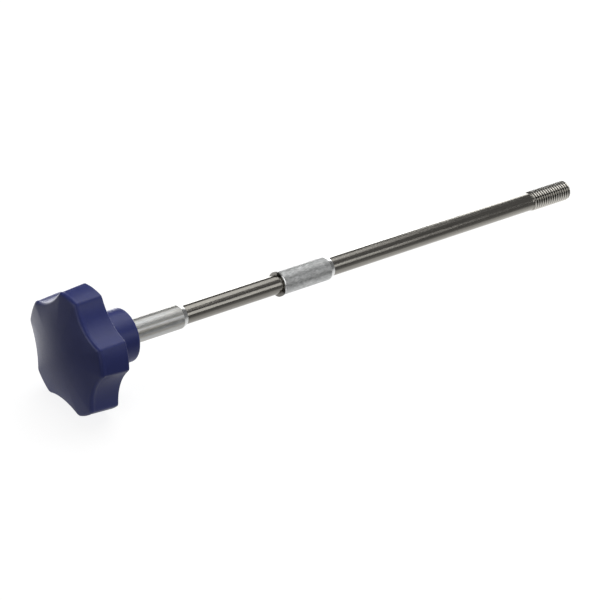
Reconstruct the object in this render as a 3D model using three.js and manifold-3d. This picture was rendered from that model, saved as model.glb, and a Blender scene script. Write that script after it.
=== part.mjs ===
// A star-knob tie rod: a moulded five-lobe knob on a long steel rod with an M8 thread on its far end,
// two aluminium sleeves that turn on the rod, and the ring that backs the second one.
// Millimetres. The rod's axis is X and its threaded tip is the origin; the knob is at -X, and +Z is up.
import * as THREE from 'three';
import Module from 'manifold-3d';
import { LoftGeometry } from 'three/addons/geometries/LoftGeometry.js';
import { mergeVertices } from 'three/addons/utils/BufferGeometryUtils.js';

// Stations along the rod are measured from the hub's end face, towards the threaded tip.
const ROD_LENGTH = 219;
const SHANK_RADIUS = 3.6;
const SPIGOT_RADIUS = 3;
const SPIGOT_LENGTH = 14;
const SPIGOT_CHAMFER = 0.6;
const RUNNING_CLEARANCE = 0.07;
const AXIAL_PLAY = 0.1;
const MOULDED_GAP = 0.1;

const THREAD = { pitch: 1.25, length: 20, crest: 3.985, root: 3.25, crestFlat: 0.156, chamfer: 1.3, runOut: 1 };

const SLEEVE = { radius: 4.5, leadLength: 2, leadDepth: 0.7, breakEdge: 0.35 };
const HUB_SLEEVE_LENGTH = 25.3;
const GUIDE_SLEEVE_LENGTH = 24.2;
const RING = { station: 69, thickness: 1, inner: 3.2, outer: 4.8, opening: 112, facing: 53 };

const HUB = { length: 14.5, radius: 10.1, endRound: 1 };
const INSERT = {
  length: 17, radius: 6, waist: 5.2, band: 6, flange: 1.5, neck: 1, teeth: 24, toothDepth: 0.4,
};

const STAR = {
  lobes: 5,
  tipRadius: 23.2,
  tipArcOffset: 0.8,
  notchBottom: 19.25,
  notchRadius: 21.5,
  cornerBlend: 0.85,
  sideHeight: 11.4,
  draft: THREE.MathUtils.degToRad(2.7),
  rimRound: 1.25,
  domeRadius: 200,
  crown: 1.7,
};

// Facets round each turned part and each turn of thread, and the rings and angles that shape the knob.
const ROUND_SIDES = 48;
const THREAD_SIDES = 20;
const FACE_SHARES = [0.04, 0.3, 0.55, 0.8];
const CORNER_SPREAD = THREE.MathUtils.degToRad(1.4);
const TWO_PI = 2 * Math.PI;

const wasm = await Module();
wasm.setup();

// ---- solids -------------------------------------------------------------------------------------------

function toSolid(geometry) {
  const bare = new THREE.BufferGeometry().setIndex(geometry.index);
  bare.setAttribute('position', geometry.getAttribute('position'));
  const merged = mergeVertices(bare, 1e-4);
  const vertProperties = merged.attributes.position.array;
  const triVerts = new Uint32Array(merged.index.array);
  return new wasm.Manifold(new wasm.Mesh({ numProp: 3, vertProperties, triVerts }));
}

function toGeometry(solid) {
  const { vertProperties, triVerts } = solid.getMesh();
  const geometry = new THREE.BufferGeometry();
  geometry.setAttribute('position', new THREE.BufferAttribute(vertProperties, 3));
  geometry.setIndex(new THREE.BufferAttribute(triVerts, 1));
  return geometry;
}

// A body of revolution about X. The profile is [station, radius] pairs, with the stations rising on the
// outside. A bored part's profile comes back along the bore and closes on its first point.
function turned(profile, sides = ROUND_SIDES) {
  const points = profile.map(([station, radius]) => new THREE.Vector2(radius, station));
  return new THREE.LatheGeometry(points, sides).rotateZ(-Math.PI / 2);
}

function polar(station, radius, angle) {
  return new THREE.Vector3(station, -radius * Math.sin(angle), radius * Math.cos(angle));
}

function closed(profile) {
  return [...profile, profile[0]];
}

// A quarter round between a cylinder and an end face, as [station, radius] pairs.
function endRound(station, radius, round, steps = 3) {
  return Array.from({ length: steps + 1 }, (_, i) => {
    const turn = (i / steps) * (Math.PI / 2);
    return [station - round * (1 - Math.sin(turn)), radius - round * (1 - Math.cos(turn))];
  });
}

// ---- star knob ----------------------------------------------------------------------------------------

// The lobes' tips are arcs whose centres lie a little beyond the axis, and the notches are arcs about points
// outside. The two meet in a corner that is barely rounded. offset moves the whole wall outwards.
function starRadius(angle, offset) {
  const { lobes, tipRadius, tipArcOffset, notchBottom, notchRadius, cornerBlend } = STAR;
  const pitchAngle = TWO_PI / lobes;
  const fromNotch = Math.abs(THREE.MathUtils.euclideanModulo(angle, pitchAngle) - pitchAngle / 2);
  const fromTip = pitchAngle / 2 - fromNotch;
  const tipArc = Math.sqrt((tipRadius + tipArcOffset + offset) ** 2 - (tipArcOffset * Math.sin(fromTip)) ** 2);
  const tip = tipArc - tipArcOffset * Math.cos(fromTip);
  const centre = notchBottom + notchRadius;
  const reach = (notchRadius - offset) ** 2 - (centre * Math.sin(fromNotch)) ** 2;
  if (reach <= 0) return tip;
  const notch = centre * Math.cos(fromNotch) - Math.sqrt(reach);
  const mix = Math.max(0, 1 - Math.abs(tip - notch) / cornerBlend);
  return Math.min(tip, notch) - (mix * mix * cornerBlend) / 4;
}

// Where the tip and notch arcs cross, as an angle from the lobe's middle: the law of cosines in the triangle
// of the two arcs' centres and the crossing.
function cornerAngle() {
  const { lobes, tipRadius, tipArcOffset, notchBottom, notchRadius } = STAR;
  const halfPitch = Math.PI / lobes;
  const across = (notchBottom + notchRadius) * Math.sin(halfPitch);
  const along = (notchBottom + notchRadius) * Math.cos(halfPitch) + tipArcOffset;
  const span = Math.hypot(across, along);
  const tipArc = tipRadius + tipArcOffset;
  const opening = Math.acos((span ** 2 + tipArc ** 2 - notchRadius ** 2) / (2 * span * tipArc));
  const turn = Math.atan2(across, along) - opening;
  return Math.atan2(tipArc * Math.sin(turn), tipArc * Math.cos(turn) - tipArcOffset);
}

// Angles round the star: even steps, with extra ones at the corners between tips and notches.
function starAngles() {
  const pitchAngle = TWO_PI / STAR.lobes;
  const corner = cornerAngle();
  const before = corner - CORNER_SPREAD;
  const after = corner + CORNER_SPREAD;
  const half = [0, 0.4 * corner, 0.75 * corner, before, corner, after];
  const notchSteps = 4;
  for (let i = 1; i < notchSteps; i += 1) {
    half.push(after + (i / notchSteps) * (pitchAngle / 2 - after));
  }
  const lobe = [...half, pitchAngle / 2, ...half.slice(1).reverse().map((angle) => pitchAngle - angle)];
  return Array.from({ length: STAR.lobes }, (_, i) => lobe.map((angle) => angle + i * pitchAngle)).flat();
}

// The front face: a shallow dome, and on it a crown that dies out at the rim. share is the radius as a part
// of the rim's own radius in that direction.
function faceStation(radius, share) {
  const { tipRadius, domeRadius, crown, sideHeight } = STAR;
  const dome = (tipRadius ** 2 - radius ** 2) / (2 * domeRadius);
  return -HUB.length - sideHeight - dome - crown * (1 - share ** 2);
}

// One ring of the lobed body: the wall's outline at an offset, shrunk to a share of its radius.
function starRing(offset, share, stationOf) {
  return starAngles().map((angle) => {
    const radius = starRadius(angle, offset) * share;
    return polar(stationOf(radius), radius, angle);
  });
}

function lobedBody() {
  const { rimRound, sideHeight, draft } = STAR;
  const rings = [];
  for (const share of FACE_SHARES) {
    rings.push(starRing(-rimRound, share, (radius) => faceStation(radius, share)));
  }
  const rimSteps = 3;
  for (let i = rimSteps; i >= 0; i -= 1) {
    const turn = (i / rimSteps) * (Math.PI / 2);
    const lift = rimRound * (1 - Math.sin(turn));
    rings.push(starRing(-rimRound * (1 - Math.cos(turn)), 1, (radius) => faceStation(radius, 1) + lift));
  }
  rings.push(starRing(sideHeight * Math.tan(draft), 1, () => -HUB.length));
  return new LoftGeometry(rings, { capStart: true, capEnd: true });
}

function starKnob() {
  const root = -HUB.length - 2;
  const hub = turned([[root, 0], [root, HUB.radius], ...endRound(0, HUB.radius, HUB.endRound), [0, 0]]);
  const pocketRadius = INSERT.radius + MOULDED_GAP;
  const pocketEnd = -INSERT.length - MOULDED_GAP;
  const pocket = turned([[pocketEnd, 0], [pocketEnd, pocketRadius], [1, pocketRadius], [1, 0]]);
  return toGeometry(toSolid(lobedBody()).add(toSolid(hub)).subtract(toSolid(pocket)));
}

// ---- knob insert --------------------------------------------------------------------------------------

function knurledBand() {
  const outline = new THREE.Shape();
  const corners = 2 * INSERT.teeth;
  for (let i = 0; i < corners; i += 1) {
    const angle = (i / corners) * TWO_PI;
    const radius = INSERT.radius - (i % 2 ? INSERT.toothDepth : 0);
    outline[i ? 'lineTo' : 'moveTo'](radius * Math.cos(angle), radius * Math.sin(angle));
  }
  outline.closePath();
  return new THREE.ExtrudeGeometry(outline, { depth: INSERT.band, bevelEnabled: false }).rotateY(Math.PI / 2);
}

function knobInsert() {
  const { length, radius, waist, band, flange, neck } = INSERT;
  const core = turned([[-length, 0], [-length, waist], [-flange, waist], [-flange, radius], [0, radius], [0, 0]]);
  const frontBand = knurledBand().translate(-length, 0, 0);
  const rearBand = knurledBand().translate(-flange - neck - band, 0, 0);
  const bore = SPIGOT_RADIUS + RUNNING_CLEARANCE;
  const through = turned([[-length - 1, 0], [-length - 1, bore], [1, bore], [1, 0]]);
  const body = toSolid(core).add(toSolid(frontBand)).add(toSolid(rearBand));
  return toGeometry(body.subtract(toSolid(through)));
}

// ---- tie rod ------------------------------------------------------------------------------------------

// The thread's ridge: a trapezium carried along a helix, sunk a little into the core under it.
function threadRidge(start, end) {
  const { pitch, crest, root, crestFlat } = THREAD;
  const sunk = root - 0.15;
  const flank = Math.tan(Math.PI / 6);
  const halfCrest = crestFlat / 2;
  const halfBase = halfCrest + (crest - sunk) * flank;
  const section = [[-halfBase, sunk], [halfBase, sunk], [halfCrest, crest], [-halfCrest, crest]];
  const steps = Math.ceil(((end - start) / pitch) * THREAD_SIDES);
  const sections = [];
  for (let i = 0; i <= steps; i += 1) {
    const station = start + (i / THREAD_SIDES) * pitch;
    const angle = (i / THREAD_SIDES) * TWO_PI;
    sections.push(section.map(([along, radius]) => polar(station + along, radius, angle)));
  }
  return new LoftGeometry(sections, { capStart: true, capEnd: true });
}

// The full thread, trimmed to the blank: rising out of the shank at one end, chamfered at the tip.
function threadedEnd() {
  const { pitch, length, crest, root, chamfer, runOut } = THREAD;
  const start = ROD_LENGTH - length;
  const coreStart = start - 3;
  const over = crest + 0.1;
  const core = turned([[coreStart, 0], [coreStart, root], [ROD_LENGTH, root], [ROD_LENGTH, 0]], THREAD_SIDES);
  const ridge = threadRidge(start - pitch, ROD_LENGTH + pitch);
  const blank = turned([
    [coreStart, 0],
    [coreStart, SHANK_RADIUS - 0.1],
    [start - runOut, SHANK_RADIUS - 0.1],
    [start, over],
    [ROD_LENGTH - chamfer, over],
    [ROD_LENGTH, over - chamfer],
    [ROD_LENGTH, 0],
  ], THREAD_SIDES);
  return toSolid(core).add(toSolid(ridge)).intersect(toSolid(blank));
}

function tieRod() {
  const grooveStart = RING.station - AXIAL_PLAY / 2;
  const grooveEnd = RING.station + RING.thickness + AXIAL_PLAY / 2;
  const groove = RING.inner - RUNNING_CLEARANCE;
  const shankEnd = ROD_LENGTH - THREAD.length;
  const shank = turned([
    [-SPIGOT_LENGTH, 0],
    [-SPIGOT_LENGTH, SPIGOT_RADIUS - SPIGOT_CHAMFER],
    [-SPIGOT_LENGTH + SPIGOT_CHAMFER, SPIGOT_RADIUS],
    [AXIAL_PLAY / 2, SPIGOT_RADIUS],
    [AXIAL_PLAY / 2, SHANK_RADIUS],
    [grooveStart, SHANK_RADIUS],
    [grooveStart, groove],
    [grooveEnd, groove],
    [grooveEnd, SHANK_RADIUS],
    [shankEnd - THREAD.runOut, SHANK_RADIUS],
    [shankEnd, THREAD.root - 0.1],
    [shankEnd, 0],
  ]);
  return toGeometry(toSolid(shank).add(threadedEnd()));
}

// ---- sleeves and ring ---------------------------------------------------------------------------------

// A sleeve's square end is at its station and its long lead-in chamfer faces the threaded tip.
function sleeve(station, length) {
  const { radius, leadLength, leadDepth, breakEdge } = SLEEVE;
  const bore = SHANK_RADIUS + RUNNING_CLEARANCE;
  const end = station + length;
  return turned(closed([
    [station, bore],
    [station, radius - breakEdge],
    [station + breakEdge, radius],
    [end - leadLength, radius],
    [end, radius - leadDepth],
    [end, bore],
  ]));
}

// An open spring-steel ring, pushed over its groove from one side. Its opening faces upwards and towards -Y.
function retainingRing() {
  const { station, thickness, inner, outer } = RING;
  const halfOpening = THREE.MathUtils.degToRad(RING.opening / 2);
  const facing = THREE.MathUtils.degToRad(RING.facing);
  const outline = new THREE.Shape();
  outline.absarc(0, 0, outer, halfOpening, TWO_PI - halfOpening, false);
  outline.absarc(0, 0, inner, TWO_PI - halfOpening, halfOpening, true);
  outline.closePath();
  const geometry = new THREE.ExtrudeGeometry(outline, { depth: thickness, bevelEnabled: false, curveSegments: 20 });
  return geometry.rotateZ(Math.PI + facing).rotateY(Math.PI / 2).translate(station, 0, 0);
}

// ---- materials and assembly ---------------------------------------------------------------------------

function named(name, geometry, color, roughness, metalness) {
  const mesh = new THREE.Mesh(geometry, new THREE.MeshStandardMaterial({ color, roughness, metalness }));
  mesh.name = name;
  return mesh;
}

function assembly() {
  const group = new THREE.Group();
  group.add(named('star_knob', starKnob(), 0x1c2050, 0.4, 0));
  group.add(named('knob_insert', knobInsert(), 0xb08d46, 0.35, 1));
  group.add(named('tie_rod', tieRod(), 0x8c8a84, 0.25, 1));
  group.add(named('hub_sleeve', sleeve(AXIAL_PLAY, HUB_SLEEVE_LENGTH), 0xa9aba8, 0.5, 1));
  group.add(named('retaining_ring', retainingRing(), 0x2c2c2e, 0.4, 1));
  const guideStation = RING.station + RING.thickness + AXIAL_PLAY;
  group.add(named('guide_sleeve', sleeve(guideStation, GUIDE_SLEEVE_LENGTH), 0xa9aba8, 0.5, 1));
  group.position.x = -ROD_LENGTH;
  return group;
}

export default assembly();
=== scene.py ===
"""The looks of a star-knob tie rod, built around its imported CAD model.

Metres, in the part's own frame: the rod's axis is X, its threaded tip is the origin, the knob is at -X and
+Z is up.
"""
import math

import bmesh
import bpy
from mathutils import Matrix, Vector

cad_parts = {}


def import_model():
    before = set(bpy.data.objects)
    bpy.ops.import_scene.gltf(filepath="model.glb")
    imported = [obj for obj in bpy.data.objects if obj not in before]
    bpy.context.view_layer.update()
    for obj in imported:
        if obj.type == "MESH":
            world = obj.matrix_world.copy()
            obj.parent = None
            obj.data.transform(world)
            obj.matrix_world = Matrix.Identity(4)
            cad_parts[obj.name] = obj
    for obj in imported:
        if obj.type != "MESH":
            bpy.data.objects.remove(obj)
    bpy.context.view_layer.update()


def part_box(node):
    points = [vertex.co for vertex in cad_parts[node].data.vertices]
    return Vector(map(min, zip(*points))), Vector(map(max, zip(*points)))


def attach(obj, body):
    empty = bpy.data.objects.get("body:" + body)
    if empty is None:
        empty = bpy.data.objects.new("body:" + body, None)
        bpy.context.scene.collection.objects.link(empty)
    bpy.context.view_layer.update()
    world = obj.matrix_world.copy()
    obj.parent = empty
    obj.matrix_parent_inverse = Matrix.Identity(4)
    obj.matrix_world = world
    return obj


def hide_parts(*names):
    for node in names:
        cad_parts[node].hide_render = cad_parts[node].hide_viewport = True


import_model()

MM = 0.001

# ---- places, from the frame -----------------------------------------------------------------------------

KNOB_LOW, KNOB_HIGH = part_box("star_knob")
ROD_LOW, ROD_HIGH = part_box("tie_rod")
INSERT_LOW, INSERT_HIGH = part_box("knob_insert")
RING_LOW, RING_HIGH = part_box("retaining_ring")
HUB_FACE = KNOB_HIGH.x
ROD_TIP = ROD_HIGH.x
FLOOR = KNOB_LOW.z

# ---- driving dimensions ---------------------------------------------------------------------------------

LOBES = 5
TIP_RADIUS = 23.2 * MM
TIP_ARC_OFFSET = 0.8 * MM
NOTCH_BOTTOM = 19.25 * MM
NOTCH_RADIUS = 21.5 * MM
CORNER_BLEND = 0.85 * MM
CORNER_ANGLE = math.radians(12.7)
CORNER_SPACING = math.radians(0.35)
SIDE_HEIGHT = 11.4 * MM
DRAFT = math.radians(2.7)
RIM_ROUND = 1.25 * MM
DOME_RADIUS = 200 * MM
CROWN = 1.7 * MM
HUB_LENGTH = 14.5 * MM
HUB_RADIUS = 10.1 * MM
HUB_END_ROUND = 1 * MM
HUB_ROOT_ROUND = 0.7 * MM
HUB_ROOT_RADIUS = HUB_RADIUS + HUB_ROOT_ROUND
PARTING_STEP = 0.11 * MM
PARTING_WIDTH = 0.25 * MM
POCKET_EDGE_ROUND = 0.12 * MM
POCKET_SIDE_GAP = 0.02 * MM
POCKET_END_GAP = 0.1 * MM
BACK_ROUND = 0.5 * MM

SHANK_RADIUS = 3.6 * MM
SPIGOT_RADIUS = 3 * MM
SPIGOT_CHAMFER = 0.6 * MM
SHOULDER_GAP = 0.05 * MM
SHOULDER_ROUND = 0.15 * MM
GROOVE_PLAY = 0.05 * MM
GROOVE_EDGE_ROUND = 0.06 * MM
PITCH = 1.25 * MM
THREAD_LENGTH = 20 * MM
THREAD_CREST = 3.985 * MM
THREAD_ROOT = 3.25 * MM
CREST_FLAT = PITCH / 8
CREST_BLEND = 0.06 * MM
ROOT_BLEND = 0.25 * MM
TIP_BLEND = 0.1 * MM
TIP_CHAMFER = 1.3 * MM
THREAD_RUN_OUT = 1.1 * MM
TIP_FLAT = 1.2 * MM

SLEEVE_RADIUS = 4.5 * MM
SLEEVE_BORE = 3.67 * MM
LEAD_LENGTH = 2 * MM
LEAD_DEPTH = 0.7 * MM
SQUARE_CHAMFER = 0.35 * MM

RING_INNER = 3.2 * MM
RING_OUTER = 4.8 * MM
RING_OPENING = math.radians(112)
RING_FACING = math.radians(53)
RING_EDGE_ROUND = 0.08 * MM
GROOVE_RADIUS = RING_INNER - 0.07 * MM

INSERT_TEETH = 36
INSERT_TOOTH = 0.4 * MM
INSERT_BAND = 6 * MM
INSERT_BAND_CHAMFER = 0.3 * MM
INSERT_FLANGE = 1.5 * MM
INSERT_NECK = 1 * MM
INSERT_WAIST = 5.2 * MM
INSERT_BORE = SPIGOT_RADIUS + 0.07 * MM
INSERT_EDGE_CHAMFER = 0.15 * MM
INSERT_BORE_CHAMFER = 0.2 * MM

ROUND_SEGMENTS = 144
GUARD = 0.2 * MM
SHARP_EDGE = math.radians(32)

AZIMUTH = math.radians(-40.697)
ELEVATION = math.radians(29.869)
ROLL = math.radians(4.654)
DISTANCE = 927.75 * MM
AIM = Vector((-149.57, -13.73, 0)) * MM
LENS = 150
SENSOR = 36
FLOOR_GLOW = 0.88
SWEEP_GLOW = 0.9
SWEEP_FRONT = -62 * MM
SWEEP_BACK = 2 * MM
SWEEP_BEHIND = 25 * MM
SWEEP_FAR = 60 * MM
SWEEP_LEFT = -282 * MM
SWEEP_KNOB = -240 * MM
SWEEP_TIP = -40 * MM


# ---- mesh building --------------------------------------------------------------------------------------


def polar(station, radius, angle):
    """A point at an angle round the rod, counted from +Z towards -Y."""
    return Vector((station, -radius * math.sin(angle), radius * math.cos(angle)))


def even_angles(count):
    return [math.tau * i / count for i in range(count)]


def smooth_min(a, b, width):
    """The smaller of two values, with the corner where they meet blended over this width."""
    mix = max(0, 1 - abs(a - b) / width)
    return min(a, b) - mix * mix * width / 4


def turned_rings(profile, angles):
    """One ring of points for each (station, radius) pair, or a single point where it lies on the axis."""
    return [
        [polar(station, radius, angle) for angle in angles] if radius > 0 else [Vector((station, 0, 0))]
        for station, radius in profile
    ]


def skin(rings, closed=False):
    """Points and faces of the surface that joins each ring to the next. A closed one joins last to first."""
    points, faces, spans = [], [], []
    for ring in rings:
        spans.append(range(len(points), len(points) + len(ring)))
        points.extend(ring)
    pairs = list(zip(spans, spans[1:]))
    if closed:
        pairs.append((spans[-1], spans[0]))
    for near, far in pairs:
        count = max(len(near), len(far))
        for i in range(count):
            j = (i + 1) % count
            corners = [near[i % len(near)], far[i % len(far)], far[j % len(far)], near[j % len(near)]]
            faces.append(list(dict.fromkeys(corners)))
    return points, faces


def rounded(corners, closed=True, steps=4):
    """(station, radius) points of an outline given as (station, radius, rounding) corners."""
    outline = []
    for i, (station, radius, rounding) in enumerate(corners):
        here = Vector((station, radius))
        is_end = not closed and i in (0, len(corners) - 1)
        if rounding == 0 or is_end:
            outline.append(here)
            continue
        back = (Vector(corners[i - 1][:2]) - here).normalized()
        ahead = (Vector(corners[(i + 1) % len(corners)][:2]) - here).normalized()
        half = back.angle(ahead) / 2
        centre = here + (back + ahead).normalized() * (rounding / math.sin(half))
        reach = rounding / math.tan(half)
        start, end = here + back * reach - centre, here + ahead * reach - centre
        for step in range(steps + 1):
            outline.append(centre + start.lerp(end, step / steps).normalized() * rounding)
    return guarded(outline, closed)


def guarded(outline, closed):
    """The outline with a point added near both ends of each long side, which keeps its shading straight."""
    points = []
    for i, near in enumerate(outline):
        points.append(near)
        far = outline[(i + 1) % len(outline)]
        length = (far - near).length
        if length > 4 * GUARD and (closed or i < len(outline) - 1):
            points += [near.lerp(far, GUARD / length), far.lerp(near, GUARD / length)]
    return points


def make_piece(name, surface, body, node, materials, pick_material=None):
    """A mesh object that stands for a CAD node, rides on its body and has its material slot's finish."""
    points, faces = surface
    mesh = bpy.data.meshes.new(name)
    mesh.from_pydata(points, [], faces)
    shape = bmesh.new()
    shape.from_mesh(mesh)
    bmesh.ops.recalc_face_normals(shape, faces=shape.faces)
    for face in shape.faces:
        face.smooth = True
        if pick_material:
            face.material_index = pick_material(face.calc_center_median())
    for edge in shape.edges:
        edge.smooth = edge.calc_face_angle(0) < SHARP_EDGE
    shape.to_mesh(mesh)
    shape.free()
    piece = bpy.data.objects.new(name, mesh)
    bpy.context.scene.collection.objects.link(piece)
    for material in materials:
        mesh.materials.append(material)
    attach(piece, body)
    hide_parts(node)
    return piece


# ---- star knob ------------------------------------------------------------------------------------------


def star_radius(angle, offset=0.0):
    """The star's outline: tip arcs about points just beyond the axis and notch arcs about points outside."""
    sector = math.tau / LOBES
    from_notch = abs(angle % sector - sector / 2)
    from_tip = sector / 2 - from_notch
    tip_reach = (TIP_RADIUS + TIP_ARC_OFFSET + offset) ** 2 - (TIP_ARC_OFFSET * math.sin(from_tip)) ** 2
    tip = math.sqrt(tip_reach) - TIP_ARC_OFFSET * math.cos(from_tip)
    centre = NOTCH_BOTTOM + NOTCH_RADIUS
    reach = (NOTCH_RADIUS - offset) ** 2 - (centre * math.sin(from_notch)) ** 2
    if reach <= 0:
        return tip
    notch = centre * math.cos(from_notch) - math.sqrt(reach)
    return smooth_min(tip, notch, CORNER_BLEND)


def star_angles():
    """Angles round the star, closer together at the corners between tips and notches."""
    sector = math.tau / LOBES
    tip_steps, notch_steps, corner_steps = 12, 24, 5
    even = [CORNER_ANGLE * i / tip_steps for i in range(tip_steps)]
    even += [CORNER_ANGLE + (sector / 2 - CORNER_ANGLE) * i / notch_steps for i in range(notch_steps)]
    close = [CORNER_ANGLE + CORNER_SPACING * i for i in range(-corner_steps, corner_steps + 1) if i]
    half = sorted(even + close)
    lobe = half + [sector / 2] + [sector - angle for angle in reversed(half[1:])]
    return [angle + i * sector for i in range(LOBES) for angle in lobe]


def face_station(radius, share=1.0):
    """The front face: a shallow dome with a crown on it that dies out at the rim, where share is 1."""
    dome = (TIP_RADIUS**2 - radius**2) / (2 * DOME_RADIUS)
    return HUB_FACE - HUB_LENGTH - SIDE_HEIGHT - dome - CROWN * (1 - share**2)


def knob_surface():
    angles = star_angles()
    outline = [star_radius(angle, -RIM_ROUND) for angle in angles]
    rings = [[Vector((face_station(0, 0), 0, 0))]]
    face_steps = 24
    for i in range(1, face_steps):
        share = i / face_steps
        blend = share**4
        radii = [share * (NOTCH_BOTTOM * (1 - blend) + radius * blend) for radius in outline]
        rings.append([polar(face_station(r, share), r, a) for r, a in zip(radii, angles)])
    rim_steps = 8
    for i in range(rim_steps + 1):
        turn = math.pi / 2 * (1 - i / rim_steps)
        offset = -RIM_ROUND * (1 - math.cos(turn))
        lift = RIM_ROUND * (1 - math.sin(turn))
        radii = [star_radius(angle, offset) for angle in angles]
        rings.append([polar(face_station(r) + lift, r, a) for r, a in zip(radii, angles)])
    back = HUB_FACE - HUB_LENGTH
    front_edge = rings[-1]
    wall_steps = 10
    for i in range(wall_steps + 1):
        share = i / wall_steps
        ring = []
        for point, angle in zip(front_edge, angles):
            station = point.x + PARTING_WIDTH + (back - BACK_ROUND - point.x - PARTING_WIDTH) * share
            along = (station - point.x) / (back - point.x)
            offset = along * SIDE_HEIGHT * math.tan(DRAFT) - PARTING_STEP * (1 - along)
            ring.append(polar(station, star_radius(angle, offset), angle))
        rings.append(ring)
    widest = SIDE_HEIGHT * math.tan(DRAFT)
    round_steps = 4
    for i in range(1, round_steps + 1):
        turn = math.pi / 2 * i / round_steps
        offset = widest - BACK_ROUND * (1 - math.cos(turn))
        station = back - BACK_ROUND * (1 - math.sin(turn))
        rings.append([polar(station, star_radius(angle, offset), angle) for angle in angles])
    outer = [star_radius(angle, widest - BACK_ROUND) for angle in angles]
    for share in (0.75, 0.5, 0.25, 0.1):
        radii = [HUB_ROOT_RADIUS + (radius - HUB_ROOT_RADIUS) * share for radius in outer]
        rings.append([polar(back, r, a) for r, a in zip(radii, angles)])
    pocket_radius = INSERT_HIGH.y + POCKET_SIDE_GAP
    pocket_floor = INSERT_LOW.x - POCKET_END_GAP
    # The first corner only gives the fillet its direction, and its point is left out.
    hub_profile = rounded(
        [
            (back, HUB_ROOT_RADIUS + 1 * MM, 0),
            (back, HUB_RADIUS, HUB_ROOT_ROUND),
            (HUB_FACE, HUB_RADIUS, HUB_END_ROUND),
            (HUB_FACE, pocket_radius, POCKET_EDGE_ROUND),
            (pocket_floor, pocket_radius, 0),
            (pocket_floor, 0, 0),
        ],
        closed=False,
        steps=6,
    )
    rings += turned_rings(hub_profile[1:], angles)
    return skin(rings)


def make_knob(materials):
    finishes = [materials["plastic"]]
    make_piece("knob_moulding", knob_surface(), "knob_and_rod", "star_knob", finishes)


# ---- knob insert ----------------------------------------------------------------------------------------


def insert_surface():
    """A bored bush with two knurled bands, which hold it in the moulding."""
    start, end = INSERT_LOW.x, INSERT_HIGH.x
    outer = INSERT_HIGH.y
    first_end = start + INSERT_BAND
    second_end = end - INSERT_FLANGE - INSERT_NECK
    second_start = second_end - INSERT_BAND
    profile = [
        (start, INSERT_BORE, 0),
        (start, outer - INSERT_TOOTH, 0),
        (start + INSERT_BAND_CHAMFER, outer, INSERT_TOOTH),
        (first_end, outer, INSERT_TOOTH),
        (first_end + INSERT_BAND_CHAMFER, INSERT_WAIST, 0),
        (second_start, INSERT_WAIST, 0),
        (second_start + INSERT_BAND_CHAMFER, outer, INSERT_TOOTH),
        (second_end - INSERT_BAND_CHAMFER, outer, INSERT_TOOTH),
        (second_end, INSERT_WAIST, 0),
        (end - INSERT_FLANGE, INSERT_WAIST, 0),
        (end - INSERT_FLANGE, outer, 0),
        (end - INSERT_EDGE_CHAMFER, outer, 0),
        (end, outer - INSERT_EDGE_CHAMFER, 0),
        (end, INSERT_BORE + INSERT_BORE_CHAMFER, 0),
        (end - INSERT_BORE_CHAMFER, INSERT_BORE, 0),
    ]
    angles = even_angles(INSERT_TEETH * 4)
    rings = []
    for station, radius, depth in profile:
        ring = []
        for i, angle in enumerate(angles):
            valley = depth * (1, 0.35, 0, 0.35)[i % 4]
            ring.append(polar(station, radius - valley, angle))
        rings.append(ring)
    return skin(rings, closed=True)


def make_insert(materials):
    finishes = [materials["brass"]]
    make_piece("insert_bush", insert_surface(), "knob_and_rod", "knob_insert", finishes)


# ---- tie rod --------------------------------------------------------------------------------------------


def thread_radius(station, angle):
    """The rolled thread's radius: 60 degree flanks, flat crests and rounded roots, on a right-hand helix."""
    start = ROD_TIP - THREAD_LENGTH
    turns = (station - start) / PITCH - angle / math.tau
    from_ridge = abs(turns - round(turns)) * PITCH
    flank = THREAD_CREST - (from_ridge - CREST_FLAT / 2) / math.tan(math.pi / 6)
    ridge = smooth_min(THREAD_CREST, flank, CREST_BLEND)
    profile = -smooth_min(-ridge, -THREAD_ROOT, ROOT_BLEND)
    shown = min(1, max(0, (station - start + THREAD_RUN_OUT) / THREAD_RUN_OUT))
    radius = SHANK_RADIUS + (profile - SHANK_RADIUS) * shown
    chamfer = THREAD_CREST - TIP_CHAMFER + TIP_BLEND + (ROD_TIP - station)
    return smooth_min(radius, chamfer, TIP_BLEND)


def rod_surface():
    angles = even_angles(ROUND_SEGMENTS)
    shoulder = HUB_FACE + SHOULDER_GAP
    groove_low, groove_high = RING_LOW.x - GROOVE_PLAY, RING_HIGH.x + GROOVE_PLAY
    thread_start = ROD_TIP - THREAD_LENGTH - THREAD_RUN_OUT
    plain = rounded(
        [
            (ROD_LOW.x, 0, 0),
            (ROD_LOW.x, SPIGOT_RADIUS - SPIGOT_CHAMFER, 0),
            (ROD_LOW.x + SPIGOT_CHAMFER, SPIGOT_RADIUS, 0),
            (shoulder, SPIGOT_RADIUS, 0),
            (shoulder, SHANK_RADIUS, SHOULDER_ROUND),
            (groove_low, SHANK_RADIUS, GROOVE_EDGE_ROUND),
            (groove_low, GROOVE_RADIUS, 0),
            (groove_high, GROOVE_RADIUS, 0),
            (groove_high, SHANK_RADIUS, GROOVE_EDGE_ROUND),
            (thread_start, SHANK_RADIUS, 0),
        ],
        closed=False,
    )
    rings = turned_rings(plain, angles)
    rows_per_pitch = 20
    rows = round((ROD_TIP - thread_start) / PITCH * rows_per_pitch)
    for i in range(1, rows + 1):
        station = thread_start + (ROD_TIP - thread_start) * i / rows
        rings.append([polar(station, thread_radius(station, angle), angle) for angle in angles])
    rings.append([polar(ROD_TIP, TIP_FLAT, angle) for angle in angles])
    rings.append([Vector((ROD_TIP, 0, 0))])
    return skin(rings)


def make_rod(materials):
    finishes = [materials["steel"], materials["thread"]]

    def is_rolled(centre):
        return int(centre.x > ROD_TIP - THREAD_LENGTH and centre.yz.length > THREAD_ROOT - 0.05 * MM)

    make_piece("rod_drawn", rod_surface(), "knob_and_rod", "tie_rod", finishes, is_rolled)


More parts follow.
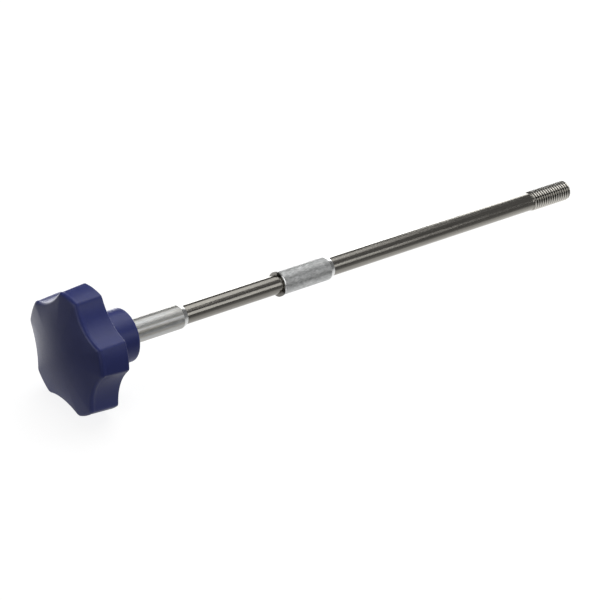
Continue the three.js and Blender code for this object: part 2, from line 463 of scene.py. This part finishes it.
# ---- sleeves and ring -----------------------------------------------------------------------------------


def sleeve_surface(start, end):
    """A bored sleeve whose long lead-in chamfer faces the threaded tip."""
    outline = rounded([
        (start, SLEEVE_BORE, 0.12 * MM),
        (start, SLEEVE_RADIUS - SQUARE_CHAMFER, 0.05 * MM),
        (start + SQUARE_CHAMFER, SLEEVE_RADIUS, 0.2 * MM),
        (end - LEAD_LENGTH, SLEEVE_RADIUS, 0.5 * MM),
        (end, SLEEVE_RADIUS - LEAD_DEPTH, 0.04 * MM),
        (end, SLEEVE_BORE, 0),
    ])
    return skin(turned_rings(outline, even_angles(ROUND_SEGMENTS)), closed=True)


def make_sleeve(name, node, skin_material, cut_material):
    low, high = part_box(node)

    def is_cut(centre):
        return int(centre.x > high.x - LEAD_LENGTH or centre.x < low.x + SQUARE_CHAMFER)

    make_piece(name, sleeve_surface(low.x, high.x), node, node, [skin_material, cut_material], is_cut)


def ring_surface():
    """A spring-steel snap ring: one open band of rounded rectangular section, swept round its groove."""
    steps = 96
    section = rounded([
        (RING_LOW.x, RING_INNER, RING_EDGE_ROUND),
        (RING_LOW.x, RING_OUTER, RING_EDGE_ROUND),
        (RING_HIGH.x, RING_OUTER, RING_EDGE_ROUND),
        (RING_HIGH.x, RING_INNER, RING_EDGE_ROUND),
    ])
    rings = []
    for i in range(steps + 1):
        angle = RING_FACING + RING_OPENING / 2 + (math.tau - RING_OPENING) * i / steps
        rings.append([polar(station, radius, angle) for station, radius in section])
    points, faces = skin(rings)
    count = len(section)
    faces.append(list(range(count)))
    faces.append(list(reversed(range(len(points) - count, len(points)))))
    return points, faces


def make_ring(materials):
    finishes = [materials["spring"]]
    make_piece("snap_ring", ring_surface(), "knob_and_rod", "retaining_ring", finishes)


# ---- materials ------------------------------------------------------------------------------------------


class Shader:
    """A Principled material whose nodes are added one by one. Sizes in it are millimetres."""

    def __init__(self, name, **values):
        self.material = bpy.data.materials.new(name)
        self.material.use_nodes = True
        self.nodes = self.material.node_tree.nodes
        self.links = self.material.node_tree.links
        self.surface = self.nodes["Principled BSDF"]
        for socket, value in values.items():
            self.surface.inputs[socket.replace("_", " ")].default_value = value
        self.place = self.nodes.new("ShaderNodeTexCoord").outputs["Object"]

    def noise(self, size, detail=3.0, roughness=0.55, shift=0.0):
        """Noise whose grains have this (along the rod, across, up) size."""
        mapping = self.nodes.new("ShaderNodeMapping")
        mapping.inputs["Scale"].default_value = [1 / (s * MM) for s in size]
        mapping.inputs["Location"].default_value = (shift, shift, shift)
        texture = self.nodes.new("ShaderNodeTexNoise")
        texture.inputs["Scale"].default_value = 1
        texture.inputs["Detail"].default_value = detail
        texture.inputs["Roughness"].default_value = roughness
        self.links.new(self.place, mapping.inputs["Vector"])
        self.links.new(mapping.outputs["Vector"], texture.inputs["Vector"])
        return texture.outputs["Fac"]

    def radius(self):
        """The distance from the rod's axis, in millimetres."""
        mapping = self.nodes.new("ShaderNodeMapping")
        mapping.inputs["Scale"].default_value = (0, 1 / MM, 1 / MM)
        length = self.nodes.new("ShaderNodeVectorMath")
        length.operation = "LENGTH"
        self.links.new(self.place, mapping.inputs["Vector"])
        self.links.new(mapping.outputs["Vector"], length.inputs[0])
        return length.outputs["Value"]

    def between(self, factor, low, high, start=0.3, end=0.7):
        """A value that goes from low to high as the factor goes from start to end."""
        spread = self.nodes.new("ShaderNodeMapRange")
        for socket, value in (("From Min", start), ("From Max", end), ("To Min", low), ("To Max", high)):
            spread.inputs[socket].default_value = value
        self.links.new(factor, spread.inputs["Value"])
        return spread.outputs["Result"]

    def blend(self, factor, first, second):
        """The first colour where the factor is 0, the second where it is 1. Each is a colour or a socket."""
        mix = self.nodes.new("ShaderNodeMix")
        mix.data_type = "RGBA"
        self.links.new(factor, mix.inputs["Factor"])
        for socket, colour in ((mix.inputs[6], first), (mix.inputs[7], second)):
            if isinstance(colour, bpy.types.NodeSocket):
                self.links.new(colour, socket)
            else:
                socket.default_value = (*colour, 1)
        return mix.outputs[2]

    def bump(self, height, depth, under=None):
        """A surface whose height varies by a depth in millimetres, on top of another bump."""
        node = self.nodes.new("ShaderNodeBump")
        node.inputs["Distance"].default_value = depth * MM
        self.links.new(height, node.inputs["Height"])
        if under:
            self.links.new(under, node.inputs["Normal"])
        return node.outputs["Normal"]

    def set(self, **sources):
        for socket, source in sources.items():
            self.links.new(source, self.surface.inputs[socket.replace("_", " ")])
        return self.material


def navy_plastic():
    """Satin moulded plastic, with faint clouds, paler specks and a slight orange peel."""
    shader = Shader("navy_plastic", IOR=1.46)
    cloud = shader.noise((9, 9, 9), detail=4)
    speck = shader.noise((0.3, 0.3, 0.3), detail=2)
    grain = shader.noise((0.6, 0.6, 0.6), detail=3, shift=7)
    base = shader.blend(shader.between(cloud, 0, 1), (0.021, 0.030, 0.150), (0.026, 0.036, 0.172))
    colour = shader.blend(shader.between(speck, 0, 0.2, 0.62, 0.8), base, (0.04, 0.05, 0.2))
    roughness = shader.between(grain, 0.32, 0.4)
    peel = shader.bump(shader.noise((2.4, 2.4, 2.4), detail=2, shift=3), 0.012)
    normal = shader.bump(grain, 0.003, peel)
    return shader.set(Base_Color=colour, Roughness=roughness, Normal=normal)


def rolled_thread_painted_root_shade():
    """Burnished crests and flanks, with painted shade that darkens the roots."""
    shader = Shader("rolled_thread_painted_root_shade", Metallic=1)
    grain = shader.noise((0.3, 0.15, 0.15), detail=4)
    bright = shader.blend(shader.between(grain, 0, 1), (0.55, 0.53, 0.49), (0.67, 0.65, 0.60))
    # Painted shade: the colour goes nearly black towards the roots, where shade falls between the flanks.
    height = shader.between(shader.radius(), 0, 1, THREAD_ROOT / MM + 0.12, THREAD_ROOT / MM + 0.6)
    colour = shader.blend(height, (0.07, 0.067, 0.06), bright)
    return shader.set(Base_Color=colour, Roughness=shader.between(grain, 0.08, 0.15))


def drawn_steel():
    """Bright-drawn steel: long streaks along the rod and a few darker patches."""
    shader = Shader("drawn_steel", Metallic=1)
    streak = shader.noise((60, 0.35, 0.35), detail=5, roughness=0.65)
    fine = shader.noise((12, 0.12, 0.12), detail=3, shift=4)
    patch = shader.noise((14, 3, 3), detail=3, shift=9)
    base = shader.blend(shader.between(streak, 0, 1), (0.29, 0.277, 0.250), (0.44, 0.422, 0.384))
    colour = shader.blend(shader.between(patch, 0, 0.4), base, (0.26, 0.25, 0.228))
    roughness = shader.between(fine, 0.12, 0.22)
    waves = shader.bump(streak, 0.022)
    normal = shader.bump(fine, 0.008, waves)
    return shader.set(Base_Color=colour, Roughness=roughness, Normal=normal)


def aluminium(name, marks, dullness, streaks):
    """Aluminium with fine turning lines, drawn streaks, and cloudy marks where it has been tumbled."""
    shader = Shader(name, Metallic=1)
    lines = shader.noise((0.09, 9, 9), detail=3)
    cloud = shader.noise((2.2, 1.6, 1.6), detail=5, roughness=0.6, shift=5)
    dents = shader.noise((1.6, 0.7, 0.7), detail=3, roughness=0.55, shift=2)
    base = shader.blend(shader.between(cloud, 0, marks), (0.62, 0.63, 0.625), (0.95, 0.96, 0.96))
    streak = shader.between(shader.noise((40, 0.7, 0.7), shift=6), 0, streaks, 0.4, 0.6)
    drawn = shader.blend(streak, base, (0.56, 0.54, 0.49))
    colour = shader.blend(shader.between(dents, 0, marks * 0.8), drawn, (0.42, 0.43, 0.43))
    roughness = shader.between(cloud, dullness - 0.08, dullness + 0.08)
    turned = shader.bump(lines, 0.006)
    normal = shader.bump(dents, 0.08 * marks, turned)
    return shader.set(Base_Color=colour, Roughness=roughness, Normal=normal)


def bright_cut():
    """Bright aluminium where a chamfer or a square end has been cut."""
    shader = Shader("bright_cut", Metallic=1)
    lines = shader.noise((0.05, 0.05, 0.05), detail=2)
    colour = shader.blend(shader.between(lines, 0, 1), (0.80, 0.81, 0.81), (0.90, 0.90, 0.89))
    return shader.set(Base_Color=colour, Roughness=shader.between(lines, 0.2, 0.32))


def spring_steel():
    """Dark phosphated spring steel."""
    shader = Shader("spring_steel", Metallic=1)
    grain = shader.noise((0.25, 0.25, 0.25), detail=4)
    colour = shader.blend(shader.between(grain, 0, 1), (0.12, 0.115, 0.105), (0.22, 0.21, 0.19))
    normal = shader.bump(grain, 0.01)
    return shader.set(Base_Color=colour, Roughness=shader.between(grain, 0.32, 0.5), Normal=normal)


def turned_brass():
    """Turned brass."""
    shader = Shader("turned_brass", Metallic=1)
    lines = shader.noise((0.1, 6, 6), detail=3)
    colour = shader.blend(shader.between(lines, 0, 1), (0.55, 0.38, 0.13), (0.68, 0.49, 0.19))
    normal = shader.bump(lines, 0.006)
    return shader.set(Base_Color=colour, Roughness=shader.between(lines, 0.22, 0.36), Normal=normal)


# ---- stage ----------------------------------------------------------------------------------------------


def floor():
    """A pale floor that glows.

    The camera sees it evenly pale. Reflections see a painted glow on it, bright behind the part and falling
    off in front of it, with painted shade near the knob.
    """
    half = 4.0
    corners = [(-half, -half), (half, -half), (half, half), (-half, half)]
    mesh = bpy.data.meshes.new("floor")
    mesh.from_pydata([(x, y, FLOOR) for x, y in corners], [], [(0, 1, 2, 3)])
    material = bpy.data.materials.new("pale_floor")
    material.use_nodes = True
    nodes, links = material.node_tree.nodes, material.node_tree.links
    surface = nodes["Principled BSDF"]
    surface.inputs["Base Color"].default_value = (0.2, 0.2, 0.2, 1)
    surface.inputs["Roughness"].default_value = 0.9
    surface.inputs["Specular IOR Level"].default_value = 0
    surface.inputs["Emission Color"].default_value = (1, 1, 1, 1)
    place = nodes.new("ShaderNodeSeparateXYZ")
    links.new(nodes.new("ShaderNodeNewGeometry").outputs["Position"], place.inputs["Vector"])

    def ramp(axis, start, end, low, high):
        node = nodes.new("ShaderNodeMapRange")
        for socket, value in (("From Min", start), ("From Max", end), ("To Min", low), ("To Max", high)):
            node.inputs[socket].default_value = value
        links.new(place.outputs[axis], node.inputs["Value"])
        return node.outputs["Result"]

    def product(first, second):
        node = nodes.new("ShaderNodeMath")
        node.operation = "MULTIPLY"
        links.new(first, node.inputs[0])
        links.new(second, node.inputs[1])
        return node.outputs["Value"]

    # Painted light: the glow that reflections see grows from the front of the part to behind it, and
    # brighter still far behind.
    depth = ramp("Y", SWEEP_FRONT, SWEEP_BACK, 0, SWEEP_GLOW)
    behind = ramp("Y", SWEEP_BEHIND, SWEEP_FAR, 1, 4)
    # Painted shade: the glow is dimmed past the knob's end and along the rod near the knob, standing in for
    # the knob's shade on the floor.
    shade_past_knob = ramp("X", SWEEP_LEFT, SWEEP_KNOB, 0.06, 1)
    length = ramp("X", SWEEP_KNOB, SWEEP_TIP, 0.65, 1)
    path = nodes.new("ShaderNodeLightPath")
    glow = nodes.new("ShaderNodeMix")
    glow.inputs["B"].default_value = FLOOR_GLOW
    links.new(path.outputs["Is Camera Ray"], glow.inputs["Factor"])
    links.new(product(product(depth, behind), product(shade_past_knob, length)), glow.inputs["A"])
    links.new(glow.outputs["Result"], surface.inputs["Emission Strength"])
    mesh.materials.append(material)
    plane = bpy.data.objects.new("floor", mesh)
    bpy.context.scene.collection.objects.link(plane)


def softbox(name, lean, angle, distance, along, across, radiance, lights_floor=True, shows=True):
    """A rectangular light that faces the rod's middle, with its long side along the rod.

    It stands at a distance in metres, in a direction that leans towards the tip by this cosine, at an angle
    in degrees round the rod from -Y up over +Z.
    """
    round_rod = math.radians(angle)
    flat = math.sqrt(1 - lean**2)
    back = Vector((lean, -math.cos(round_rod) * flat, math.sin(round_rod) * flat))
    upright = back.cross(Vector((1, 0, 0))).normalized()
    axes = Matrix((upright.cross(back), upright, back)).transposed()
    light = bpy.data.lights.new(name, "AREA")
    light.shape = "RECTANGLE"
    light.size, light.size_y = along, across
    light.energy = radiance * math.pi * along * across
    lamp = bpy.data.objects.new(name, light)
    middle = Vector((ROD_LOW.x / 2, 0, 0))
    lamp.matrix_world = Matrix.Translation(middle + back * distance) @ axes.to_4x4()
    lamp.visible_glossy = shows
    lamp.visible_diffuse = lights_floor
    bpy.context.scene.collection.objects.link(lamp)


def lights():
    softbox("overhead_box", 0.36, 112, 1.0, 0.58, 0.74, 1.1)
    softbox("front_box", 0.36, 29, 1.0, 0.58, 0.40, 1.2, lights_floor=False)
    softbox("thread_box", 0.34, 82, 1.03, 0.16, 0.6, 2.4, lights_floor=False)
    softbox("edge_box", -0.82, 45, 1.0, 0.22, 1.4, 1.5, lights_floor=False)
    softbox("left_box", -0.92, 131, 1.0, 0.5, 0.6, 1.75, lights_floor=False)
    softbox("far_box", 0.79, 160, 1.2, 0.5, 0.5, 2.4, lights_floor=False)
    softbox("sky_panel", 0.4, 108, 1.9, 2.2, 2.2, 2.3, shows=False)
    softbox("front_fill", -0.2, 25, 1.8, 1.2, 1.2, 1.2, shows=False)


def world():
    """A dim grey studio, which the camera itself sees as a pale background."""
    made = bpy.data.worlds.new("studio")
    bpy.context.scene.world = made
    made.use_nodes = True
    nodes, links = made.node_tree.nodes, made.node_tree.links
    room = nodes["Background"]
    room.inputs["Color"].default_value = (0.15, 0.15, 0.15, 1)
    shown = nodes.new("ShaderNodeBackground")
    shown.inputs["Color"].default_value = (0.93, 0.93, 0.93, 1)
    path = nodes.new("ShaderNodeLightPath")
    mix = nodes.new("ShaderNodeMixShader")
    links.new(path.outputs["Is Camera Ray"], mix.inputs["Fac"])
    links.new(room.outputs["Background"], mix.inputs[1])
    links.new(shown.outputs["Background"], mix.inputs[2])
    links.new(mix.outputs["Shader"], nodes["World Output"].inputs["Surface"])


def camera():
    """A long lens, from in front of the knob and above it, on the -Y side."""
    back = Vector((math.sin(AZIMUTH), -math.cos(AZIMUTH), 0)) * math.cos(ELEVATION)
    back.z = math.sin(ELEVATION)
    right = Vector((math.cos(AZIMUTH), math.sin(AZIMUTH), 0))
    roll = Matrix.Rotation(ROLL, 3, back)
    axes = Matrix((roll @ right, roll @ back.cross(right), back)).transposed()
    data = bpy.data.cameras.new("camera")
    data.lens = LENS
    data.sensor_width = SENSOR
    made = bpy.data.objects.new("camera", data)
    made.matrix_world = Matrix.Translation(AIM + back * DISTANCE) @ axes.to_4x4()
    bpy.context.scene.collection.objects.link(made)
    bpy.context.scene.camera = made


# ---- the model ------------------------------------------------------------------------------------------


def build():
    scene = bpy.context.scene
    scene.view_settings.view_transform = "Standard"
    materials = {
        "plastic": navy_plastic(),
        "steel": drawn_steel(),
        "thread": rolled_thread_painted_root_shade(),
        "spring": spring_steel(),
        "brass": turned_brass(),
    }
    cut = bright_cut()
    camera()
    world()
    lights()
    floor()
    make_knob(materials)
    make_insert(materials)
    make_rod(materials)
    make_ring(materials)
    turned = aluminium("turned_aluminium", marks=0.3, dullness=0.38, streaks=0.9)
    make_sleeve("hub_sleeve_turned", "hub_sleeve", turned, cut)
    tumbled = aluminium("tumbled_aluminium", marks=1.0, dullness=0.48, streaks=0.1)
    make_sleeve("guide_sleeve_turned", "guide_sleeve", tumbled, cut)


build()
